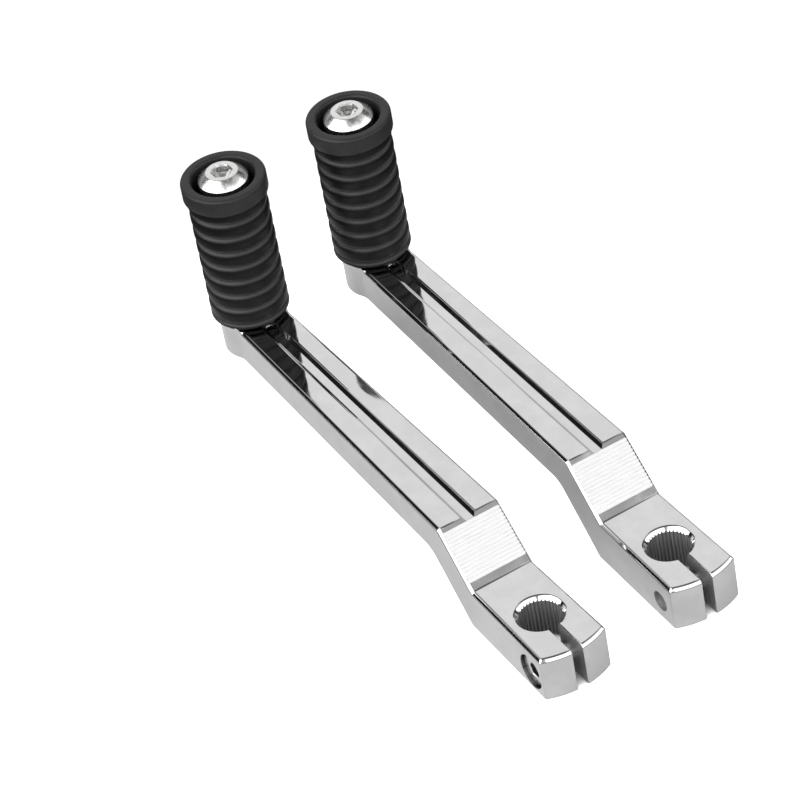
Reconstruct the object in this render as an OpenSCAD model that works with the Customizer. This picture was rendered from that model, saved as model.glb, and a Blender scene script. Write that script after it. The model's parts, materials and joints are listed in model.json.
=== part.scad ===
// Handed pair of gear shift levers for a motorcycle. Each is a chromed billet arm with a split,
// splined clamp at one end and a ribbed rubber foot peg that turns on a bolted spacer at the other.
// X runs along the levers towards the clamps, Y across the pair, Z up along the pegs. The origin is
// on the pair's middle plane, midway along the length, at the level of the clamps' lower faces.

/* [Pair] */
// Distance between the two levers' middle planes
pair_pitch = 41.6; // [30:0.2:80]

/* [Arm] */
// Distance from the splined bore to the peg
reach = 150; // [120:1:180]
// Width of the arm across the bore
clamp_w = 20.5; // [19:0.1:23]
// Width to which the arm tapers at the peg
arm_end_w = 15.8; // [13:0.1:17]
// Thickness of the raised arm
arm_t = 11; // [9:0.5:13]
// Height of the arm's top above the clamp's top
rise = 13; // [8:0.5:18]
// Distance from the bore to the foot of the slope
slope_start = 18.7; // [17:0.1:24]
// Length over which the slope rises
slope_run = 14.2; // [12:0.2:20]
// Distance from the bore to where the underside leaves the clamp's lower face
under_start = 21.6; // [20:0.1:26]
// Radius under the bend
under_fillet_r = 8; // [2:0.5:12]
// Diameter of the boss under the peg
boss_d = 19.2; // [17.5:0.1:22]
// Radius where the boss runs into the arm
boss_fillet_r = 8; // [3:0.5:14]
// Chamfer along the top edges
edge_chamfer = 0.9; // [0.4:0.1:1.4]

/* [Groove] */
// Width of the groove at the arm's top
groove_w = 4.6; // [3.5:0.1:6]
// Width of the groove's floor
groove_floor_w = 2.4; // [1.5:0.1:3]
// Depth of the groove
groove_depth = 1.1; // [0.6:0.1:1.8]

/* [Milled slope] */
// Plain band above the milled patch, along the slope
band_top = 1.6; // [1:0.1:3]
// Plain band below the milled patch, along the slope
band_bottom = 2.5; // [1.5:0.1:4]
// Number of milled flutes across the slope
flute_count = 14; // [8:1:20]
// Depth of each flute below the slope
flute_depth = 0.28; // [0.1:0.02:0.3]

/* [Clamp] */
// Thickness of the clamp
clamp_t = 14; // [13:0.5:18]
// Radius of the nose
nose_r = 22.5; // [19:0.1:30]
// Radius of the nose's upright corners
nose_corner_r = 0.8; // [0.5:0.1:1.5]
// Wall between the pinch screw's counterbore and the start of the nose's corner
nose_wall = 0.25; // [0.15:0.05:2]
// Diameter across the tips of the spline's teeth
bore_d = 12; // [11:0.1:12.4]
// Number of teeth round the bore
spline_teeth = 36; // [24:1:40]
// Depth of the spaces between the teeth
spline_depth = 0.4; // [0.3:0.05:0.6]
// Countersink at both ends of the bore, on the radius
bore_chamfer = 1.15; // [0.6:0.05:1.4]
// Width of the slit
slit_w = 3.3; // [2:0.1:4]
// Wall between the spline's roots and the pinch screw's hole
pinch_wall = 0.1; // [0.05:0.05:0.4]
// Wall under the pinch screw's counterbore
pinch_floor = 0.85; // [0.5:0.05:2]

/* [Pinch screw] */
// Thread diameter of the pinch screw
pinch_d = 6; // [5:0.5:6]
// Head diameter of the pinch screw
pinch_head_d = 10; // [8:0.5:10]
// Head height of the pinch screw
pinch_head_h = 4; // [3:0.1:4.4]
// Length of the pinch screw under its head
pinch_len = 14; // [12:0.5:15.5]
// Key size of the pinch screw
pinch_key = 4; // [3:0.5:5]
// Depth of the pinch screw's socket
pinch_socket = 2.3; // [1.5:0.1:3]
// How far the head lies below the side of the clamp
pinch_sink = 1; // [0.2:0.1:1.5]

/* [Peg screw] */
// Thread diameter of the peg screw
screw_d = 8; // [6:0.5:8]
// Head diameter of the peg screw
screw_head_d = 14.4; // [13.5:0.1:15]
// Head height of the peg screw
screw_head_h = 4.4; // [3.5:0.1:5]
// Height of the plain rim round the peg screw's head
screw_rim = 0.4; // [0.3:0.1:2]
// Diameter of the flat on top of the domed head
screw_flat_d = 8.2; // [7:0.1:12]
// Swell of the domed side over a straight cone
screw_swell = 0.4; // [0.05:0.05:0.5]
// Key size of the peg screw
screw_key = 5; // [4:0.5:5]
// Depth of the peg screw's socket
screw_socket = 2.6; // [1.5:0.1:3]
// Length of thread in the boss
screw_grip = 9.4; // [6:0.1:9.6]

/* [Peg bearing] */
// Length of the spacer that the screw clamps
spacer_len = 45.6; // [36:0.1:56]
// Outer diameter of the spacer
spacer_d = 10.4; // [9.4:0.1:11]
// Outer diameter of the bush that turns on the spacer
bush_d = 14; // [13:0.1:14.5]
// Outer diameter of the bush's foot flange
flange_d = 17; // [16:0.1:18]
// Thickness of the foot flange
flange_t = 1.6; // [1:0.1:2.5]
// Outer diameter of the bead that holds the rubber
bead_d = 15.6; // [15:0.1:16.5]
// Height of the bead
bead_h = 2.4; // [1.5:0.1:3]

/* [Rubber] */
// Height of the lip above the spacer's end
lip_over = 2.6; // [0.5:0.1:4]
// Diameter of the lip
lip_d = 24.6; // [23.2:0.1:26]
// Height of the lip
lip_h = 5.2; // [3:0.1:6]
// Diameter of the mouth inside the lip
mouth_d = 18.2; // [17:0.1:19]
// Depth of the mouth
mouth_depth = 7.2; // [6:0.1:10]
// Diameter over the ribs
rib_d = 22.8; // [21:0.1:23]
// Depth of the notches between the ribs
notch_depth = 1; // [0.3:0.05:1.2]
// Fullness of the ribs: 2 is round, and more is flatter with tighter shoulders
rib_fullness = 4; // [2:0.1:5]
// Number of full ribs
rib_count = 7; // [5:1:10]
// Height of one rib
rib_pitch = 5.15; // [3.5:0.05:6]
// Height of the foot below the last notch
foot_h = 2.6; // [1.5:0.1:4]
// Rounding of the rubber's edges
rubber_round = 0.9; // [0.3:0.1:1]

/* [Fits] */
// Running clearance round the spacer, on the radius
run_gap = 0.05; // [0.02:0.01:0.1]
// End float of the bush at each end of the spacer
end_float = 0.15; // [0.1:0.05:0.3]
// Space under the rubber, over the arm
rubber_gap = 0.3; // [0.2:0.05:0.5]
// Clearance of a screw in its plain hole, on the radius
hole_gap = 0.15; // [0.1:0.05:0.3]
// Clearance of a thread in its tapped hole, on the radius
thread_gap = 0.04; // [0.02:0.01:0.1]

/* [Hidden] */
$fn = 96;

chrome = [0.82, 0.83, 0.84];
steel = [0.74, 0.75, 0.76];
bright_zinc = [0.66, 0.67, 0.68];
black_oxide = [0.13, 0.13, 0.14];
black_rubber = [0.09, 0.09, 0.095];

// A cutter passes this far beyond the faces that it opens.
over = 1;
// A fillet's arc is cut this much larger than a tangent one, so it meets what it joins at a clear angle.
fillet_bite = 0.05;

// Levels
arm_top = clamp_t + rise;
arm_bottom = arm_top - arm_t;
bearing_z = arm_top + spacer_len;
lip_top = bearing_z + lip_over;
rubber_bottom = arm_top + rubber_gap;
peg_x = -reach;

// The arm's sides taper in plan. Each side runs through these two half-widths.
taper = atan((clamp_w - arm_end_w) / 2 / reach);
along = [cos(taper), sin(taper)];
outward = [-sin(taper), cos(taper)];
function half_w(x) = clamp_w / 2 + x * tan(taper);

// Rounded meeting of the boss with a side
boss_r = boss_d / 2;
peg_at = [peg_x, 0];
boss_to_side = half_w(peg_x) * cos(taper);
fillet_run = sqrt(pow(boss_r + boss_fillet_r, 2) - pow(boss_to_side + boss_fillet_r, 2));
fillet_at = peg_at + along * fillet_run + outward * (boss_to_side + boss_fillet_r);
fillet_on_side = fillet_at - outward * boss_fillet_r;

// Bore
bore_r = bore_d / 2;
mouth_r = bore_r + bore_chamfer;
root_r = bore_r + spline_depth;
half_tooth = 180 / spline_teeth;
space_share = 0.5;

// Pinch screw: the head's seat is measured from the lever's middle plane.
pinch_r = pinch_d / 2;
pinch_counterbore_r = pinch_head_d / 2 + hole_gap;
pinch_x = root_r + pinch_wall + pinch_r + hole_gap;
pinch_z = pinch_floor + pinch_counterbore_r;
pinch_seat = half_w(pinch_x) - pinch_sink - pinch_head_h;

// Nose: its corners start clear of the counterbore.
corner_x = pinch_x + pinch_counterbore_r + nose_wall;
corner_on_side = [corner_x, half_w(corner_x)];
corner_at = corner_on_side - outward * nose_corner_r;
nose_at = [corner_at[0] - sqrt(pow(nose_r - nose_corner_r, 2) - pow(corner_at[1], 2)), 0];
nose_reach = nose_at[0] + nose_r;
corner_turn = atan2(corner_at[1], corner_at[0] - nose_at[0]);
nose_outward = [cos(corner_turn), sin(corner_turn)];
nose_lap = 5;

// The corner's arc is flatter than a tangent one, so it meets the side and the nose at a clear angle.
corner_arc_r = 2 * nose_corner_r;
corner_middle = (outward + nose_outward) / norm(outward + nose_outward);
corner_arc_at = corner_at + corner_middle * (nose_corner_r - corner_arc_r);

// Place of the bores along the pair's length
bore_x = (reach + max(lip_d, boss_d) / 2 - nose_reach) / 2;

// Slope
slope_angle = atan(rise / slope_run);
slope_len = norm([rise, slope_run]);
slope_top_x = -slope_start - slope_run;
under_top_x = -under_start - arm_bottom / tan(slope_angle);
under_tangent = under_fillet_r * tan(slope_angle / 2);
flute_pitch = (slope_len - band_top - band_bottom) / flute_count;
crest_drop = 0.04;
crest_h = flute_depth - crest_drop;
flute_r = (pow(flute_pitch / 2, 2) + pow(crest_h, 2)) / (2 * crest_h);

// How far the clamp and the arm run into each other
clamp_overlap = 1;
arm_overlap_z = 4;

// Peg
screw_r = screw_d / 2;
screw_head_r = screw_head_d / 2;
screw_flat_r = screw_flat_d / 2;
dome_side = [screw_flat_r - screw_head_r, screw_head_h - screw_rim];
dome_outward = [dome_side[1], -dome_side[0]] / norm(dome_side);
dome_steps = [0, 0.15, 0.3, 0.45, 0.6, 0.75, 0.9, 1];
bush_bottom = arm_top + end_float;
bush_top = bearing_z - end_float;
mouth_floor = lip_top - mouth_depth;
bead_z = mouth_floor - bead_h * 2;
ribs_bottom = rubber_bottom + foot_h;
ribs_top = ribs_bottom + rib_count * rib_pitch;

// Tips of a milled hexagon, from its key size
function key_r(key) = key / sqrt(3);

// Swell of a rib above its notch at a share of its height, from 0 to 1
function swell(share) = 1 - pow(abs(2 * share - 1), rib_fullness);

// Quarter turns of an edge rounding, as steps of an angle
round_steps = [0, 22.5, 45, 67.5, 90];
rib_steps = [0, 0.05, 0.11, 0.19, 0.32, 0.68, 0.81, 0.89, 0.95];

// Plan of the arm, from the nose to the boss
module arm_plan() {
  difference() {
    union() {
      polygon([
        [peg_x, -half_w(peg_x)], [nose_reach, -half_w(nose_reach)],
        [nose_reach, half_w(nose_reach)], [peg_x, half_w(peg_x)]
      ]);
      translate(peg_at) circle(boss_r);
      for (side = [0, 1]) mirror([0, side]) boss_fillet();
    }
    nose_waste();
    for (side = [0, 1]) mirror([0, side]) corner_waste();
  }
}

module boss_fillet() {
  difference() {
    polygon([peg_at, fillet_on_side, fillet_at]);
    translate(fillet_at) circle(boss_fillet_r + fillet_bite);
  }
}

// What lies outside the nose's arc
module nose_waste() {
  difference() {
    translate([0, -clamp_w]) square([nose_reach + over, 2 * clamp_w]);
    translate(nose_at) circle(nose_r);
  }
}

// What lies outside the rounding of one nose corner
module corner_waste() {
  waste_r = corner_arc_r + over;
  difference() {
    polygon([
      corner_arc_at, corner_arc_at + waste_r * outward,
      corner_arc_at + waste_r * (outward + nose_outward), corner_arc_at + waste_r * nose_outward
    ]);
    translate(corner_arc_at) circle(corner_arc_r);
  }
}

// Side view of the raised arm and its slope
module arm_profile() {
  overlap_x = -slope_start + arm_overlap_z / tan(slope_angle);
  polygon([
    [overlap_x, 0], [overlap_x, clamp_t - arm_overlap_z], [slope_top_x, arm_top],
    [peg_x - boss_r - over, arm_top], [peg_x - boss_r - over, arm_bottom], [under_top_x, arm_bottom],
    [-under_start, 0]
  ]);
  under_fillet();
}

// Rounding inside the bend, seen from the side
module under_fillet() {
  bend_at = [under_top_x - under_tangent, arm_bottom - under_fillet_r];
  difference() {
    polygon([
      bend_at, [bend_at[0], arm_bottom], [under_top_x + over, arm_bottom + over],
      [under_top_x + under_tangent * cos(slope_angle), arm_bottom - under_tangent * sin(slope_angle)]
    ]);
    translate(bend_at) circle(under_fillet_r + fillet_bite);
  }
}

// Bar on edge that takes a chamfer off a corner running along X through the origin
module chamfer_bar(x_from, x_to) {
  bar = 2 * over;
  translate([x_from, 0, 0])
    rotate([-45, 0, 0])
      translate([0, -bar / 2, -edge_chamfer / sqrt(2)]) cube([x_to - x_from, bar, bar]);
}

// Ring that takes a chamfer off the top edge of the nose
module nose_chamfer() {
  half_turn = corner_turn + nose_lap;
  rotate([0, 0, -half_turn])
    rotate_extrude(angle = 2 * half_turn)
      polygon([
        [nose_r - edge_chamfer - over, over], [nose_r + over, -edge_chamfer - over], [nose_r + over, over]
      ]);
}

// Raised arm with its slope, boss, groove and milled patch
module raised_arm() {
  difference() {
    intersection() {
      linear_extrude(arm_top) arm_plan();
      translate([0, clamp_w, 0]) rotate([90, 0, 0]) linear_extrude(2 * clamp_w) arm_profile();
    }
    for (side = [0, 1]) mirror([0, side, 0]) {
      translate([0, clamp_w / 2, arm_top])
        rotate([0, 0, taper]) chamfer_bar(fillet_on_side[0], slope_top_x + slope_run);
      translate([-slope_start, half_w(-slope_start), clamp_t])
        rotate([0, 0, taper]) rotate([0, slope_angle, 0]) chamfer_bar(-slope_len - arm_overlap_z, arm_overlap_z);
    }
    groove();
    flutes();
  }
}

// Groove along the arm's top, with slanting walls and a rounded end beside the bush
module groove() {
  groove_end = peg_x + flange_d / 2 + groove_w / 2;
  reach_out = slope_run / 2;
  wall_slant = (groove_w - groove_floor_w) / groove_depth;
  translate([groove_end, 0, arm_top - groove_depth]) {
    rotate([90, 0, 90])
      linear_extrude(slope_top_x + reach_out - groove_end)
        polygon([
          [-groove_floor_w / 2, 0], [groove_floor_w / 2, 0],
          [(groove_w + over * wall_slant) / 2, groove_depth + over],
          [-(groove_w + over * wall_slant) / 2, groove_depth + over]
        ]);
    cylinder(h = groove_depth + over, d1 = groove_floor_w, d2 = groove_w + over * wall_slant);
  }
}

// Flutes milled straight across the slope
module flutes() {
  translate([-slope_start, 0, clamp_t]) rotate([0, slope_angle, 0])
    for (i = [0 : flute_count - 1])
      translate([-band_bottom - (i + 0.5) * flute_pitch, 0, flute_r - flute_depth])
        rotate([90, 0, 0]) cylinder(h = 2 * clamp_w, r = flute_r, center = true);
}

// Clamp block with its chamfered top edges
module clamp_block() {
  rear_x = -slope_start - clamp_overlap;
  difference() {
    intersection() {
      linear_extrude(clamp_t) arm_plan();
      translate([rear_x, -clamp_w, 0]) cube([nose_reach - rear_x + over, 2 * clamp_w, clamp_t]);
    }
    for (side = [0, 1]) mirror([0, side, 0]) {
      translate([0, clamp_w / 2, clamp_t])
        rotate([0, 0, taper]) chamfer_bar(rear_x - over, nose_reach + over);
    }
    translate([nose_at[0], nose_at[1], clamp_t]) nose_chamfer();
  }
}

// Splined bore with a countersink at both ends
module splined_bore() {
  translate([0, 0, -over]) cylinder(h = clamp_t + 2 * over, r = bore_r);
  translate([0, 0, -over]) linear_extrude(clamp_t + 2 * over) spline_spaces();
  cylinder(h = bore_chamfer, r1 = mouth_r, r2 = bore_r);
  translate([0, 0, clamp_t - bore_chamfer]) cylinder(h = bore_chamfer, r1 = bore_r, r2 = mouth_r);
}

// Star whose points are the spaces between the teeth
module spline_spaces() {
  half_land = half_tooth * (1 - space_share);
  valley_r = sin(half_tooth - half_land) / (sin(half_tooth) / bore_r - sin(half_land) / root_r);
  polygon([
    for (i = [0 : spline_teeth - 1]) each [
      valley_r * [cos(2 * i * half_tooth), sin(2 * i * half_tooth)],
      root_r * [cos((2 * i + 1) * half_tooth), sin((2 * i + 1) * half_tooth)]
    ]
  ]);
}

// Stepped hole for the pinch screw: counterbore on the -Y side, plain hole as far as the slit, then thread
module pinch_hole() {
  clear_r = pinch_r + hole_gap;
  tapped_r = pinch_r + thread_gap;
  translate([pinch_x, 0, pinch_z]) rotate([90, 0, 0]) rotate_extrude()
    polygon([
      [0, -clamp_w], [tapped_r, -clamp_w], [tapped_r, 0], [clear_r, 0], [clear_r, pinch_seat],
      [pinch_counterbore_r, pinch_seat], [pinch_counterbore_r, clamp_w], [0, clamp_w]
    ]);
}

module arm() {
  color(chrome) difference() {
    union() {
      raised_arm();
      clamp_block();
    }
    splined_bore();
    translate([0, -slit_w / 2, -over]) cube([nose_reach + over, slit_w, clamp_t + 2 * over]);
    pinch_hole();
    translate([peg_x, 0, arm_bottom - over]) cylinder(h = arm_t + 2 * over, r = screw_r + thread_gap);
  }
}

module pinch_screw() {
  color(bright_zinc) translate([pinch_x, 0, pinch_z]) rotate([90, 0, 0]) difference() {
    union() {
      translate([0, 0, pinch_seat]) cylinder(h = pinch_head_h, d = pinch_head_d);
      translate([0, 0, pinch_seat - pinch_len]) cylinder(h = pinch_len, r = pinch_r);
    }
    translate([0, 0, pinch_seat + pinch_head_h - pinch_socket])
      cylinder(h = pinch_socket + over, r = key_r(pinch_key), $fn = 6);
  }
}

// Half section of the peg screw's domed side, from its rim up to its flat
function dome_outside() = [
  for (share = dome_steps)
    [screw_head_r, screw_rim] + dome_side * share + dome_outward * screw_swell * 4 * share * (1 - share)
];

module peg_screw() {
  color(steel) translate([peg_x, 0, bearing_z]) difference() {
    union() {
      rotate_extrude() polygon(concat([[0, 0], [screw_head_r, 0]], dome_outside(), [[0, screw_head_h]]));
      translate([0, 0, -spacer_len - screw_grip]) cylinder(h = spacer_len + screw_grip, r = screw_r);
    }
    translate([0, 0, screw_head_h - screw_socket])
      cylinder(h = screw_socket + over, r = key_r(screw_key), $fn = 6);
  }
}

module peg_spacer() {
  color(bright_zinc) translate([peg_x, 0, arm_top]) difference() {
    cylinder(h = spacer_len, d = spacer_d);
    translate([0, 0, -over]) cylinder(h = spacer_len + 2 * over, r = screw_r + hole_gap);
  }
}

// Half section of the bush's outside, from its foot to its top: flange, barrel and bead
function bush_outside() = [
  [flange_d / 2, bush_bottom], [flange_d / 2, bush_bottom + flange_t], [bush_d / 2, bush_bottom + flange_t],
  [bush_d / 2, bead_z], [bead_d / 2, bead_z + bead_h / 3], [bead_d / 2, bead_z + bead_h * 2 / 3],
  [bush_d / 2, bead_z + bead_h]
];

module peg_bush() {
  bush_bore_r = spacer_d / 2 + run_gap;
  color(black_oxide) translate([peg_x, 0, 0]) rotate_extrude()
    polygon(concat(bush_outside(), [[bush_d / 2, bush_top], [bush_bore_r, bush_top], [bush_bore_r, bush_bottom]]));
}

// Half section of the rubber's outside, from its foot up to the lip
function foot_outside() = [
  for (a = round_steps) [
    rib_d / 2 - notch_depth - rubber_round + rubber_round * sin(a),
    rubber_bottom + rubber_round - rubber_round * cos(a)
  ]
];
function rib_outside(bottom, height) = [
  for (share = rib_steps) [rib_d / 2 - notch_depth * (1 - swell(share)), bottom + height * share]
];
function lip_outside() = [
  for (a = round_steps) [
    lip_d / 2 - rubber_round + rubber_round * cos(a),
    lip_top - rubber_round + rubber_round * sin(a)
  ]
];
function mouth_inside() = [
  for (a = round_steps) [
    mouth_d / 2 + rubber_round - rubber_round * sin(a),
    lip_top - rubber_round + rubber_round * cos(a)
  ]
];

module peg_rubber() {
  neck_h = lip_top - lip_h - ribs_top;
  ribs = [for (i = [0 : rib_count - 1]) each rib_outside(ribs_bottom + i * rib_pitch, rib_pitch)];
  bore = [for (i = [len(bush_outside()) - 1 : -1 : 1]) bush_outside()[i]];
  color(black_rubber) translate([peg_x, 0, 0]) rotate_extrude()
    polygon(concat(
      foot_outside(), rib_outside(rubber_bottom + rubber_round, foot_h - rubber_round), ribs,
      rib_outside(ribs_top, neck_h), [[rib_d / 2 - notch_depth, lip_top - lip_h], [lip_d / 2, lip_top - lip_h]],
      lip_outside(), mouth_inside(), [[mouth_d / 2, mouth_floor], [bush_d / 2, mouth_floor]],
      bore, [[flange_d / 2, rubber_bottom]]
    ));
}

// The two levers are mirror images, with their screw heads on the outer sides.
module left() {
  translate([bore_x, -pair_pitch / 2, 0]) children();
}

module right() {
  mirror([0, 1, 0]) left() children();
}

left() arm();  // left_arm
left() pinch_screw();  // left_pinch_screw
left() peg_screw();  // left_peg_screw
left() peg_spacer();  // left_peg_spacer
left() peg_bush();  // left_peg_bush
left() peg_rubber();  // left_peg_rubber
right() arm();  // right_arm
right() pinch_screw();  // right_pinch_screw
right() peg_screw();  // right_peg_screw
right() peg_spacer();  // right_peg_spacer
right() peg_bush();  // right_peg_bush
right() peg_rubber();  // right_peg_rubber
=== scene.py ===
"""Looks of a handed pair of motorcycle gear shift levers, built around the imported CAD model."""

import json
import math

import bmesh
import bpy
from bpy.props import FloatProperty, FloatVectorProperty, IntProperty, PointerProperty
from mathutils import Matrix, Vector


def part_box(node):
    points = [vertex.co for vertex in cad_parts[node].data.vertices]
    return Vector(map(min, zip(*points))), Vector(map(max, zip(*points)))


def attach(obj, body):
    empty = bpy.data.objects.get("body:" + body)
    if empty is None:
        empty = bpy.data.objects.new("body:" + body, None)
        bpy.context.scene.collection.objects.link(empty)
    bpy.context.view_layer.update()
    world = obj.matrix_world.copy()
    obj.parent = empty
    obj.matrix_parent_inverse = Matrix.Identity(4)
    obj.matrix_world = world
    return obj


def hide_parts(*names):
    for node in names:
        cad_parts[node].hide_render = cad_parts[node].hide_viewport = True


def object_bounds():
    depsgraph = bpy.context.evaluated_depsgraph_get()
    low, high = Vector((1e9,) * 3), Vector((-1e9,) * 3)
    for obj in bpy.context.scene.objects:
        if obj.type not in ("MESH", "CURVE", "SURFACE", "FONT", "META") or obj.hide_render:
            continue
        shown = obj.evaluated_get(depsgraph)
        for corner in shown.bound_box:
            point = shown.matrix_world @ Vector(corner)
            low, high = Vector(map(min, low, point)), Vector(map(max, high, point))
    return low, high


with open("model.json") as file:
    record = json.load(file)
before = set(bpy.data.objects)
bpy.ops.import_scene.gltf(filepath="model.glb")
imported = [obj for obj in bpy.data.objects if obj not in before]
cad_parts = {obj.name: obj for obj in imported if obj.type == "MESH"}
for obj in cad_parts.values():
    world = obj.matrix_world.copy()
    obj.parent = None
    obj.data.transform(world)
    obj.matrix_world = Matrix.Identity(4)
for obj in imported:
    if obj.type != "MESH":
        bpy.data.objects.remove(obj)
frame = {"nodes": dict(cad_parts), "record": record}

bl_info = {
    "name": "Gear Shift Levers",
    "version": (1, 0, 0),
    "blender": (4, 5, 0),
    "location": "View3D > Sidebar > Levers",
    "description": "Dresses a pair of chromed gear shift levers with ribbed rubber pegs",
    "category": "Object",
}

CAD_BOX = [list(corner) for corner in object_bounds()]
# Middle of each clamp's bore, by side
CLAMPS = {mount["name"].split("_")[0]: Vector(mount["pos_m"]) for mount in frame["record"]["mounts"]}
SIDES = ("left", "right")
MM = 0.001
# Points closer than this are one
TOUCHING = 1e-7
WHITE = (1.0, 1.0, 1.0, 1.0)
# Where most of a noise's values lie
NOISE_RANGE = (0.3, 0.7)
# Material slots of an arm; the cut and the bare slots hold steel darkened as painted shade
PLATED, MILLED, SHADED_CUT, SHADED_BARE = range(4)
# Material slot of a screw's socket, which takes a darker copy of the screw's metal as painted shade
SHADED_SOCKET = 1


# Settings

def length(name, description, millimetres):
    """A length property with its default given in millimetres."""
    return FloatProperty(name=name, description=description, default=millimetres * MM, min=0.0,
                         precision=5, unit="LENGTH")


def tint(name, description, value):
    """A colour property."""
    return FloatVectorProperty(name=name, description=description, default=value, size=3, min=0.0,
                               soft_max=1.0, subtype="COLOR")


def portion(name, description, value):
    """A property that is a share from 0 to 1."""
    return FloatProperty(name=name, description=description, default=value, min=0.0, max=1.0,
                         subtype="FACTOR")


def number(name, description, value, **options):
    """A property that is a plain number, or one with a unit or limits."""
    return FloatProperty(name=name, description=description, default=value, **options)


def count(name, description, value, least=1):
    """A property that is a whole number."""
    return IntProperty(name=name, description=description, default=value, min=least)


def fade(name, description, start, end):
    """A property that says where a change begins and where it is complete."""
    return FloatVectorProperty(name=name, description=description, default=(start, end), size=2)


class ArmSettings(bpy.types.PropertyGroup):
    """Edges and milled slope of the arms"""
    edge_radius: length("Edge radius", "Rounding left on the arm's outer edges by polishing", 0.3)
    edge_steps: count("Edge steps", "Steps across a rounded edge", 4)
    tooth_radius: length("Tooth radius", "Rounding where the flutes run out through the edges", 0.1)
    tooth_steps: count("Tooth steps", "Steps across the rounding of a flute's end", 2)
    weld: length("Weld distance", "Vertices closer than this are merged before the edges are rounded", 0.03)
    clamp_height: length("Clamp height", "Height of the clamp's top above its lower face", 14.0)
    rise: length("Rise", "Height of the arm's top above the clamp's top", 13.0)
    slope_start: length("Slope start", "Distance from the bore to the foot of the slope", 18.7)
    slope_run: length("Slope run", "Length over which the slope rises", 14.2)
    band_top: length("Upper band", "Plain band above the milled patch", 1.6)
    band_bottom: length("Lower band", "Plain band below the milled patch", 2.5)
    bore_clear: length("Bore zone", "Radius round the bore inside which edges stay crisp", 6.9)
    bore_radius: length("Bore radius", "Radius inside which the bore's broached walls lie", 6.6)
    slit_width: length("Slit width", "Width of the slit through the clamp", 3.3)
    pinch_clear: length("Pinch zone", "Radius round the pinch screw inside which edges stay crisp", 5.4)
    tapped_clear: length("Tapped zone", "Radius round the pinch screw inside which its tapped hole lies", 4.0)


class PegSettings(bpy.types.PropertyGroup):
    """Form of the ribbed rubber sleeve"""
    rib_radius: length("Rib radius", "Radius over the ribs", 11.4)
    notch_depth: length("Notch depth", "Depth of the notches between the ribs", 1.0)
    rib_pitch: length("Rib pitch", "Height of one rib", 5.15)
    rib_fullness: number("Rib fullness", "Fullness of the ribs: 2 is round, more is flatter", 4.0, min=2.0)
    rib_count: count("Ribs", "Number of full ribs", 7)
    foot_height: length("Foot height", "Height of the foot below the last notch", 2.6)
    lip_height: length("Lip height", "Height of the lip", 5.2)
    mouth_radius: length("Mouth radius", "Radius of the mouth inside the lip", 9.1)
    mouth_depth: length("Mouth depth", "Depth of the mouth", 7.2)
    bore_radius: length("Bore radius", "Radius of the hole for the bush", 7.0)
    flange_radius: length("Flange radius", "Radius of the recess for the bush's foot flange", 8.5)
    flange_height: length("Flange height", "Height of the recess for the bush's foot flange", 1.45)
    edge_round: length("Edge rounding", "Rounding of the lip and the foot", 0.9)
    edge_steps: count("Edge steps", "Steps across the rounding of the lip and the foot", 6, 2)
    rib_steps: count("Rib steps", "Steps up one rib", 18, 4)
    steps: count("Steps", "Steps round the sleeve", 160, 24)


class ScrewSettings(bpy.types.PropertyGroup):
    """Sizes of the peg screws and the pinch screws"""
    head_radius: length("Dome head radius", "Radius of the domed head", 7.2)
    head_round: length("Dome head rounding", "Chamfer under the domed head", 0.1)
    dome_height: length("Dome height", "Height of the domed head", 4.4)
    dome_rim: length("Dome rim", "Height of the plain rim under the dome", 2.0)
    dome_swell: length("Dome swell", "Swell of the domed side over a straight cone", 0.12)
    dome_steps: count("Dome steps", "Steps up the domed side", 20, 4)
    flat_radius: length("Dome flat radius", "Radius of the flat on top of the domed head", 4.6)
    flat_edge: length("Dome flat edge", "Width of the soft edge round the flat", 0.12)
    peg_key: length("Peg key", "Width across the flats of the peg screw's socket", 5.0)
    peg_socket: length("Peg socket depth", "Depth of the peg screw's socket", 2.6)
    peg_mouth: length("Peg socket chamfer", "Chamfer at the mouth of the peg screw's socket", 0.35)
    peg_thread: length("Peg thread radius", "Radius of the peg screw's shank", 4.0)
    peg_lead: length("Peg thread lead", "Chamfer at the tip of the peg screw", 0.4)
    cap_radius: length("Cap radius", "Radius of the pinch screw's head", 5.0)
    cap_height: length("Cap height", "Height of the pinch screw's head", 4.0)
    cap_edge: length("Cap edge", "Chamfer round the pinch screw's head", 0.35)
    pinch_key: length("Pinch key", "Width across the flats of the pinch screw's socket", 4.0)
    pinch_socket: length("Pinch socket depth", "Depth of the pinch screw's socket", 2.3)
    pinch_mouth: length("Pinch socket chamfer", "Chamfer at the mouth of the pinch screw's socket", 0.25)
    pinch_thread: length("Pinch thread radius", "Radius of the pinch screw's shank", 3.0)
    pinch_lead: length("Pinch thread lead", "Chamfer at the tip of the pinch screw", 0.6)
    thread_pitch: length("Thread pitch", "Pitch of the pinch screw's thread", 1.0)
    thread_depth: length("Thread depth", "Depth of the pinch screw's thread", 0.5)
    thread_start: length("Thread start", "Plain shank under the pinch screw's head", 9.0)
    steps: count("Steps", "Steps round a screw, a multiple of six", 96, 24)


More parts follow.
